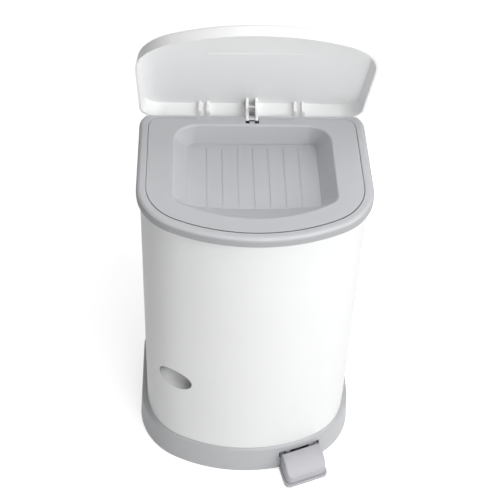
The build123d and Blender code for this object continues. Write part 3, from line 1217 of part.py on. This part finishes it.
# ------------------------------------------------------------------ cassette and holder
with BuildPart() as cassette_holder:
    with BuildSketch(Plane.XY.offset(HOLDER_BOTTOM)):
        holder_face()
        keep_between(RIM_FRONT, BODY_BACK_INSIDE)
    extrude(amount=HOLDER_THICKNESS)
    with BuildSketch(Plane.XY.offset(HOLDER_TOP)):
        holder_face()
        holder_face(HOLDER_RIM, mode=Mode.SUBTRACT)
        keep_between(RIM_FRONT, CASSETTE_BACK_Y)
    extrude(amount=HOLDER_RIM_HEIGHT)
    with BuildSketch(Plane.XY.offset(HOLDER_TOP)):
        throat_face(THROAT_WALL)
    extrude(amount=THROAT_TOP - HOLDER_TOP)
    with BuildSketch(Plane.XY.offset(HOLDER_BOTTOM)):
        throat_face()
    extrude(amount=THROAT_TOP - HOLDER_BOTTOM, mode=Mode.SUBTRACT)
    with BuildSketch(Plane.XY.offset(HOLDER_BOTTOM)):
        with Locations((0, CASSETTE_BACK_Y)):
            Rectangle(2 * ROD_NOTCH, CASSETTE_BACK, align=(Align.CENTER, Align.MIN))
    extrude(amount=HOLDER_THICKNESS, mode=Mode.SUBTRACT)
    # tabs down the shell's back wall, with bosses for the screws
    with BuildSketch(BACK_FACE.offset(BODY_WALL)):
        with Locations(*TAB_SCREWS):
            Rectangle(TAB_WIDTH, TAB_DROP)
    extrude(amount=TAB_THICKNESS)
    with BuildSketch(BACK_FACE.offset(BODY_WALL)):
        with Locations(*TAB_SCREWS):
            Circle(BOSS_RADIUS)
    extrude(amount=TAB_BOSS_LENGTH)
    with BuildSketch(BACK_FACE.offset(BODY_WALL)):
        with Locations(*TAB_SCREWS):
            Circle(SCREW_RADIUS + SCREW_CLEARANCE)
    extrude(amount=TAB_BOSS_LENGTH, mode=Mode.SUBTRACT)
cassette_holder.part.label = "cassette_holder"
export_step(cassette_holder.part, "parts/cassette_holder.step")

holder_screws = screws(BACK_FACE.offset(-SCREW_HEAD_HEIGHT), TAB_SCREWS)
holder_screws.part.label = "holder_screws"
export_step(holder_screws.part, "parts/holder_screws.step")

with BuildPart() as liner_cassette:
    with BuildSketch(Plane.XY.offset(HOLDER_TOP)):
        holder_face(HOLDER_RIM + CASSETTE_GAP)
        keep_between(RIM_FRONT, CASSETTE_BACK_Y)
        throat_face(THROAT_WALL + CASSETTE_GAP, mode=Mode.SUBTRACT)
    extrude(amount=CASSETTE_HEIGHT)
    with BuildSketch(Plane.XY.offset(HOLDER_TOP + CASSETTE_WALL)):
        holder_face(HOLDER_RIM + CASSETTE_GAP + CASSETTE_WALL)
        keep_between(RIM_FRONT, CASSETTE_BACK_Y - CASSETTE_WALL)
        throat_face(THROAT_WALL + CASSETTE_GAP + CASSETTE_WALL, mode=Mode.SUBTRACT)
    extrude(amount=CASSETTE_HEIGHT, mode=Mode.SUBTRACT)
liner_cassette.part.label = "liner_cassette"
export_step(liner_cassette.part, "parts/liner_cassette.step")

with BuildPart() as film_pack:
    with BuildSketch(Plane.XY.offset(HOLDER_TOP + CASSETTE_WALL)):
        holder_face(HOLDER_RIM + 2 * CASSETTE_GAP + CASSETTE_WALL)
        keep_between(RIM_FRONT, CASSETTE_BACK_Y - CASSETTE_WALL - CASSETTE_GAP)
        throat_face(THROAT_WALL + 2 * CASSETTE_GAP + CASSETTE_WALL, mode=Mode.SUBTRACT)
    extrude(amount=FILM_HEIGHT)
film_pack.part.label = "film_pack"
export_step(film_pack.part, "parts/film_pack.step")

# ------------------------------------------------------------------ lid
with BuildPart() as lid:
    with BuildSketch(LID_FRAME.offset(LID_EDGE)):
        d_face(LID_PLAN)
    with BuildSketch(LID_TOP):
        d_face(LID_PLAN, LID_DRAFT)
    loft(ruled=True)
    fillet(lid.edges().group_by(Axis(LID_TOP.origin, LID_TOP.z_dir))[-1], LID_ROUND)
    with BuildSketch(LID_FRAME.offset(LID_EDGE)):
        d_face(LID_PLAN, LID_WALL)
    with BuildSketch(LID_TOP.offset(-LID_WALL)):
        d_face(LID_PLAN, LID_DRAFT + LID_WALL)
    loft(ruled=True, mode=Mode.SUBTRACT)
    with BuildSketch(LID_TOP.offset(-LID_WALL)):
        with Locations((0, -(LID_PAD_NEAR + LID_PAD_FAR) / 2)):
            Rectangle(2 * LID_PAD_HALF_WIDTH, LID_PAD_FAR - LID_PAD_NEAR)
    extrude(amount=-LID_PAD_RISE)
    # ears on the hinge pins, one each side of the panel's lugs, with necks behind its tongues
    for place in HINGE_PLACES:
        for edge in (-SIDE_EAR_EDGE - EAR_THICKNESS, SIDE_EAR_EDGE):
            with BuildSketch(side_plane(LID_FRAME, place + edge)):
                Circle(KNUCKLE_RADIUS)
                Polygon(
                    (EAR_NECK_FRONT, EAR_FOOT),
                    (EAR_NECK_BACK, EAR_FOOT),
                    (EAR_NECK_BACK, KNUCKLE_RADIUS),
                    (EAR_NECK_FRONT, KNUCKLE_RADIUS),
                    align=None,
                )
                make_hull()
                Polygon(
                    (EAR_NECK_FRONT, EAR_FOOT),
                    (EAR_NECK_BACK, EAR_FOOT),
                    (EAR_NECK_BACK, LID_EDGE),
                    (EAR_RIB_BACK, EAR_TOP),
                    (EAR_RIB_FRONT, EAR_TOP),
                    (EAR_RIB_FRONT, EAR_RIB_BOTTOM),
                    (EAR_NECK_FRONT, EAR_NECK_TOP),
                    align=None,
                )
                Circle(HINGE_PIN_RADIUS + PIN_CLEARANCE, mode=Mode.SUBTRACT)
            extrude(amount=EAR_THICKNESS)
    # centre ears with the eyes for the drive pin, and a bar that joins them
    for edge in (-CENTRE_EAR_GAP / 2 - CENTRE_EAR_THICKNESS, CENTRE_EAR_GAP / 2):
        with BuildSketch(side_plane(LID_FRAME, edge)):
            with Locations(DRIVE_PLACE):
                Circle(DRIVE_EYE_RADIUS)
            Polygon(
                (EAR_NECK_BACK, LID_EDGE),
                (EAR_RIB_BACK, EAR_TOP),
                (CENTRE_EAR_FRONT, EAR_TOP),
                align=None,
            )
            make_hull()
            Polygon(
                (CENTRE_EAR_FRONT, EAR_TOP),
                (CENTRE_GUSSET_FRONT, EAR_TOP),
                CENTRE_GUSSET_BOTTOM,
                align=None,
            )
            with Locations(DRIVE_PLACE):
                Circle(DRIVE_PIN_RADIUS + SCREW_CLEARANCE, mode=Mode.SUBTRACT)
        extrude(amount=CENTRE_EAR_THICKNESS)
    with BuildSketch(side_plane(LID_FRAME, 0)):
        with Locations(CROSS_BAR_PLACE):
            Circle(CROSS_BAR_RADIUS)
    extrude(amount=(CENTRE_EAR_GAP + CENTRE_EAR_THICKNESS) / 2, both=True)
lid.part.label = "lid"
export_step(lid.part, "parts/lid.step")

with BuildPart() as lid_hinge_pins:
    for place in HINGE_PLACES:
        with BuildSketch(side_plane(HINGE_FRAME, place)):
            Circle(HINGE_PIN_RADIUS)
        extrude(amount=HINGE_PIN_HALF, both=True)
lid_hinge_pins.part.label = "lid_hinge_pins"
export_step(lid_hinge_pins.part, "parts/lid_hinge_pins.step")

with BuildPart() as drive_pin:
    with BuildSketch(side_plane(LID_FRAME, 0)):
        with Locations(DRIVE_PLACE):
            Circle(DRIVE_PIN_RADIUS)
    extrude(amount=DRIVE_PIN_HALF, both=True)
drive_pin.part.label = "drive_pin"
export_step(drive_pin.part, "parts/drive_pin.step")
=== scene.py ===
"""Looks of the pedal nappy bin: materials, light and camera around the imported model.

Metres, +Z up, floor at Z = 0, front towards -Y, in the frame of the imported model.
"""
import json
from math import radians

import bpy
from mathutils import Matrix, Vector

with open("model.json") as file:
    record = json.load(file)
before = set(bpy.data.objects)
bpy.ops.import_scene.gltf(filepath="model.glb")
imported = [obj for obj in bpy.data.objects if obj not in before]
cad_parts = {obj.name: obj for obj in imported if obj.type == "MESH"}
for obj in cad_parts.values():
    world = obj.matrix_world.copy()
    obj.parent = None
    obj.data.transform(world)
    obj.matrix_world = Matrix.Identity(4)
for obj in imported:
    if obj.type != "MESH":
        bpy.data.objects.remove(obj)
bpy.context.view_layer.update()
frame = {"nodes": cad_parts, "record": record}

# ------------------------------------------------------------------ camera, fitted to the photograph
CAMERA_PLACE = (-0.07395, -1.16600, 1.48105)
CAMERA_YAW = 3.54       # degrees to the right of straight ahead
CAMERA_PITCH = 44.28    # degrees down
CAMERA_ROLL = 2.65      # degrees
CAMERA_LENS = 87.0      # mm
CAMERA_SENSOR = 36.0    # mm across
CAMERA_REACH = 20.0     # how far it sees

# ------------------------------------------------------------------ colours, as linear values
WHITE = (0.84, 0.845, 0.845)
# painted light: the lid is the body's white plastic, made lighter so that its inside, which faces
# down, comes out brighter
LID_PAINTED_LIGHT_WHITE = (0.96, 0.962, 0.962)
BASE_GREY = (0.485, 0.493, 0.507)
GREY = (0.54, 0.549, 0.567)
PEDAL_GREY = (0.47, 0.468, 0.50)
INNER_GREY = (0.36, 0.37, 0.38)
CASSETTE = (0.55, 0.58, 0.63)
FILM = (0.72, 0.75, 0.80)
RUBBER = (0.16, 0.16, 0.165)
STEEL = (0.50, 0.50, 0.51)
FLOOR = (0.75, 0.75, 0.75)
PURE_WHITE = (1, 1, 1, 1)

# ------------------------------------------------------------------ surfaces
REFRACTION = 1.5            # index of the plastics
DRIFT_SCALE = 9.0           # patches of faint colour drift
GLOSS_SCALE = 40.0          # patches of uneven gloss
GLOSS_SWING = 0.04          # roughness varies this much either way
NOISE_SPAN = (0.3, 0.7)     # the part of a noise's range that is used
GRAIN_STRENGTH = 0.25

WHITE_MOTTLE = 0.006        # colour drifts by this share either way
GREY_MOTTLE = 0.01
WHITE_ROUGHNESS = 0.36
GREY_ROUGHNESS = 0.42

RING_SIDE_PAINTED_SHADE = 0.72      # painted shade: the ring's upright faces, darker against its top
UPRIGHT_SPAN = (0.7, 0.4)   # upward share of a face's direction: none of the painted shade, all of it

# painted shade in the finger recess, half of an ellipsoid
RECESS_PAINTED_SHADE = 0.20         # painted shade at its top, as a share of the body's white
RECESS_AZIMUTH = 32.19      # degrees from the front towards the left
RECESS_HALVES = (0.0265, 0.0175, 0.0175)
RECESS_EDGE = (1.04, 1.01)  # in half sizes from its centre: none of the painted shade, all of it
RECESS_RISE = (-1.0, 0.2)   # in half heights from its centre: none of the painted shade, all of it

# ------------------------------------------------------------------ floor and fill light
FLOOR_SIZE = 12.0
FLOOR_MIDDLE = (0, 1.5, 0)
FLOOR_GLOW = 0.65           # emission that only the camera sees
FLOOR_ROUGHNESS = 0.9
FLOOR_SHINE = 0.1
LEFT_FILL = 0.03            # fill light from the left and from the right
RIGHT_FILL = 0.14


# ------------------------------------------------------------------ shader nodes
def add_node(tree, kind, place, **inputs):
    """A shader node at a place in the editor, with its unlinked inputs set by name."""
    node = tree.nodes.new(kind)
    node.location = place
    for name, value in inputs.items():
        node.inputs[name.replace("_", " ")].default_value = value
    return node


def mapped(tree, place, value, source, target=(0.0, 1.0)):
    """A value carried from a source range to a target range, and held within it."""
    node = add_node(tree, "ShaderNodeMapRange", place)
    for name, end in zip(("From Min", "From Max"), source):
        node.inputs[name].default_value = end
    for name, end in zip(("To Min", "To Max"), target):
        node.inputs[name].default_value = end
    tree.links.new(value, node.inputs["Value"])
    return node.outputs["Result"]


def joined(tree, place, operation, first, second):
    """Two values brought together by one operation."""
    node = add_node(tree, "ShaderNodeMath", place)
    node.operation = operation
    tree.links.new(first, node.inputs[0])
    tree.links.new(second, node.inputs[1])
    return node.outputs[0]


def axis_share(tree, place, vector, axis):
    """One coordinate of a vector."""
    parts = add_node(tree, "ShaderNodeSeparateXYZ", place)
    tree.links.new(vector, parts.inputs["Vector"])
    return parts.outputs[axis]


def seen_directly(tree):
    """1 for camera, glossy and transmission rays, and 0 for light that falls on the object."""
    path = add_node(tree, "ShaderNodeLightPath", (-600, 0))
    camera_ray = path.outputs["Is Camera Ray"]
    mirrored = joined(tree, (-400, 100), "MAXIMUM", camera_ray, path.outputs["Is Glossy Ray"])
    return joined(tree, (-300, 100), "MAXIMUM", mirrored, path.outputs["Is Transmission Ray"])


# ------------------------------------------------------------------ materials
def plastic(name, colour, roughness, mottle=0.02, grain=0.00004, grain_scale=2600.0):
    """Moulded plastic: faint colour drift, uneven gloss and a fine mould grain."""
    material = bpy.data.materials.new(name)
    material.use_nodes = True
    tree = material.node_tree
    shader = tree.nodes["Principled BSDF"]
    shader.inputs["IOR"].default_value = REFRACTION
    place = add_node(tree, "ShaderNodeTexCoord", (-1200, 0)).outputs["Object"]

    drift = add_node(tree, "ShaderNodeTexNoise", (-900, 200), Scale=DRIFT_SCALE, Detail=3.0)
    tree.links.new(place, drift.inputs["Vector"])
    ramp = add_node(tree, "ShaderNodeValToRGB", (-600, 200))
    tints = (1 - mottle, 1 + mottle)
    for stop, position, tint in zip(ramp.color_ramp.elements, NOISE_SPAN, tints):
        stop.position = position
        stop.color = (*[min(1.0, value * tint) for value in colour], 1)
    tree.links.new(drift.outputs["Fac"], ramp.inputs["Fac"])
    tree.links.new(ramp.outputs["Color"], shader.inputs["Base Color"])

    gloss = add_node(tree, "ShaderNodeTexNoise", (-900, -100), Scale=GLOSS_SCALE, Detail=4.0)
    tree.links.new(place, gloss.inputs["Vector"])
    swing = (roughness - GLOSS_SWING, roughness + GLOSS_SWING)
    uneven = mapped(tree, (-600, -100), gloss.outputs["Fac"], NOISE_SPAN, swing)
    tree.links.new(uneven, shader.inputs["Roughness"])

    fine = add_node(tree, "ShaderNodeTexNoise", (-900, -400), Scale=grain_scale, Detail=2.0)
    tree.links.new(place, fine.inputs["Vector"])
    bump = add_node(
        tree, "ShaderNodeBump", (-300, -400), Strength=GRAIN_STRENGTH, Distance=grain
    )
    tree.links.new(fine.outputs["Fac"], bump.inputs["Height"])
    tree.links.new(bump.outputs["Normal"], shader.inputs["Normal"])
    return material


def white_plastic(name, colour):
    """The smooth satin white of the body and the lid."""
    return plastic(name, colour, WHITE_ROUGHNESS, mottle=WHITE_MOTTLE)


def grey_plastic(name, colour, roughness=GREY_ROUGHNESS):
    """The slightly duller grey of the ring, the deck, the plinth and the pedal."""
    return plastic(name, colour, roughness, mottle=GREY_MOTTLE)


def steel(name, colour, roughness):
    """Plain drawn steel with a coarse, very shallow grain."""
    material = plastic(name, colour, roughness, mottle=0.06, grain=0.00002, grain_scale=900.0)
    material.node_tree.nodes["Principled BSDF"].inputs["Metallic"].default_value = 1.0
    return material


def paint_shade_where(material, mask, shade):
    """Paint shade into a material: darken its colour to a share of itself where a mask is 1."""
    tree = material.node_tree
    shader = tree.nodes["Principled BSDF"]
    colour = shader.inputs["Base Color"].links[0].from_socket
    mix = add_node(tree, "ShaderNodeMix", (-200, 300))
    mix.data_type = "RGBA"
    mix.blend_type = "MULTIPLY"
    mix.inputs["B"].default_value = (shade, shade, shade, 1)
    tree.links.new(mask, mix.inputs["Factor"])
    tree.links.new(colour, mix.inputs["A"])
    tree.links.new(mix.outputs["Result"], shader.inputs["Base Color"])


def upright_painted_shade_mask(tree):
    """Mask for painted shade: 1 on the upright faces of a piece, 0 on those that face up."""
    geometry = add_node(tree, "ShaderNodeNewGeometry", (-1200, 600))
    upward = axis_share(tree, (-1000, 600), geometry.outputs["Normal"], "Z")
    return mapped(tree, (-800, 600), upward, UPRIGHT_SPAN)


def recess_centre():
    """Middle of the finger recess, which is the middle of its stated opening."""
    openings = {row["name"]: row["box_m"] for row in frame["record"]["physics"]["openings"]}
    return [(low + high) / 2 for low, high in zip(*openings["finger_recess"])]


def recess_painted_shade_mask(tree):
    """Mask for painted shade: 1 at the top of the finger recess in the door, falling to 0 at its
    foot and outside it.
    """
    place = add_node(tree, "ShaderNodeTexCoord", (-1600, 800))
    local = add_node(
        tree,
        "ShaderNodeMapping",
        (-1400, 800),
        Location=recess_centre(),
        Rotation=(0, 0, radians(-RECESS_AZIMUTH)),
        Scale=RECESS_HALVES,
    )
    local.vector_type = "TEXTURE"
    tree.links.new(place.outputs["Object"], local.inputs["Vector"])
    reach = add_node(tree, "ShaderNodeVectorMath", (-1200, 900))
    reach.operation = "LENGTH"
    tree.links.new(local.outputs["Vector"], reach.inputs[0])
    within = mapped(tree, (-1000, 900), reach.outputs["Value"], RECESS_EDGE)
    height = axis_share(tree, (-1200, 700), local.outputs["Vector"], "Z")
    risen = mapped(tree, (-1000, 700), height, RECESS_RISE)
    return joined(tree, (-800, 800), "MULTIPLY", within, risen)


def ring_plastic(name):
    """The deck's grey, with painted shade darkening the ring's upright faces."""
    material = grey_plastic(name, GREY)
    paint_shade_where(material, upright_painted_shade_mask(material.node_tree), RING_SIDE_PAINTED_SHADE)
    return material


def door_plastic(name):
    """The body's white, with painted shade at the top of the finger recess."""
    material = white_plastic(name, WHITE)
    paint_shade_where(material, recess_painted_shade_mask(material.node_tree), RECESS_PAINTED_SHADE)
    return material


MATERIALS = {
    "white_plastic": white_plastic("white_plastic", WHITE),
    "grey_plastic": grey_plastic("grey_plastic", GREY),
    # the lid's lighter white is painted light on the same plastic as the body
    "lid_plastic": white_plastic("lid_plastic", LID_PAINTED_LIGHT_WHITE),
    "base_plastic": grey_plastic("base_plastic", BASE_GREY),
    "ring_plastic": ring_plastic("ring_plastic"),
    "door_plastic": door_plastic("door_plastic"),
    "pedal_plastic": grey_plastic("pedal_plastic", PEDAL_GREY, roughness=0.45),
    "inner_plastic": plastic("inner_plastic", INNER_GREY, roughness=0.5),
    "cassette_plastic": plastic("cassette_plastic", CASSETTE, roughness=0.4),
    "film": plastic("film", FILM, roughness=0.3),
    "rubber": plastic("rubber", RUBBER, roughness=0.75),
    "steel": steel("steel", STEEL, roughness=0.32),
}

# these four have a material of their own, and the rest take that of their slot in the record
slot_of = {row["node"]: row["material_slot"] for row in frame["record"]["subparts"]}
slot_of.update(
    top_ring="ring_plastic", lid="lid_plastic", base="base_plastic", door="door_plastic"
)
for node_name, obj in frame["nodes"].items():
    obj.data.materials.clear()
    obj.data.materials.append(MATERIALS[slot_of[node_name]])


# ------------------------------------------------------------------ floor, background and light
def pale_floor():
    """A pale floor that the camera sees as white, apart from the object's soft shadow."""
    bpy.ops.mesh.primitive_plane_add(size=FLOOR_SIZE, location=FLOOR_MIDDLE)
    floor = bpy.context.object
    floor.name = "floor"
    material = bpy.data.materials.new("floor")
    material.use_nodes = True
    tree = material.node_tree
    shader = tree.nodes["Principled BSDF"]
    shader.inputs["Base Color"].default_value = (*FLOOR, 1)
    shader.inputs["Roughness"].default_value = FLOOR_ROUGHNESS
    shader.inputs["Specular IOR Level"].default_value = FLOOR_SHINE
    shader.inputs["Emission Color"].default_value = PURE_WHITE
    glow = mapped(tree, (-200, 0), seen_directly(tree), (0.0, 1.0), (0.0, FLOOR_GLOW))
    tree.links.new(glow, shader.inputs["Emission Strength"])
    floor.data.materials.append(material)


def white_world():
    """White behind the object, and a weaker fill light on it, dimmer from its left."""
    world = bpy.data.worlds.new("studio")
    bpy.context.scene.world = world
    world.use_nodes = True
    tree = world.node_tree
    background = tree.nodes["Background"]
    background.inputs["Color"].default_value = PURE_WHITE
    place = add_node(tree, "ShaderNodeTexCoord", (-1000, -300))
    across = axis_share(tree, (-800, -300), place.outputs["Generated"], "X")
    fill = mapped(tree, (-600, -300), across, (-1.0, 1.0), (LEFT_FILL, RIGHT_FILL))
    strength = add_node(tree, "ShaderNodeMapRange", (-200, 0), To_Max=1.0)
    tree.links.new(fill, strength.inputs["To Min"])
    tree.links.new(seen_directly(tree), strength.inputs["Value"])
    tree.links.new(strength.outputs["Result"], background.inputs["Strength"])


def soft_box(name, place, aim_height, size, watts):
    """A large square lamp that faces a point above the middle of the floor."""
    lamp = bpy.data.lights.new(name, "AREA")
    lamp.shape = "SQUARE"
    lamp.size = size
    lamp.energy = watts
    holder = bpy.data.objects.new(name, lamp)
    holder.location = place
    direction = Vector((0, 0, aim_height)) - Vector(place)
    holder.rotation_euler = direction.to_track_quat("-Z", "Y").to_euler()
    bpy.context.scene.collection.objects.link(holder)


pale_floor()
white_world()
soft_box("key", (1.6, -1.3, 1.8), aim_height=0.3, size=1.2, watts=19.0)
soft_box("low_key", (2.3, -0.9, 1.0), aim_height=0.3, size=1.2, watts=6.5)
soft_box("overhead", (0.2, -0.2, 2.7), aim_height=0.4, size=2.0, watts=27.0)
soft_box("front", (0.7, -2.0, 1.8), aim_height=0.4, size=1.2, watts=16.0)
soft_box("low_front", (0.5, -2.4, 0.4), aim_height=0.45, size=1.2, watts=17.0)
soft_box("back", (0.5, 1.6, 2.2), aim_height=0.45, size=1.4, watts=4.0)

camera = bpy.data.cameras.new("camera")
camera.lens = CAMERA_LENS
camera.sensor_width = CAMERA_SENSOR
camera.clip_end = CAMERA_REACH
viewer = bpy.data.objects.new("camera", camera)
viewer.matrix_world = (
    Matrix.Translation(CAMERA_PLACE)
    @ Matrix.Rotation(radians(-CAMERA_YAW), 4, "Z")
    @ Matrix.Rotation(radians(90 - CAMERA_PITCH), 4, "X")
    @ Matrix.Rotation(radians(CAMERA_ROLL), 4, "Z")
)
bpy.context.scene.collection.objects.link(viewer)
bpy.context.scene.camera = viewer
bpy.context.scene.view_settings.view_transform = "Standard"


bpy.context.view_layer.update()
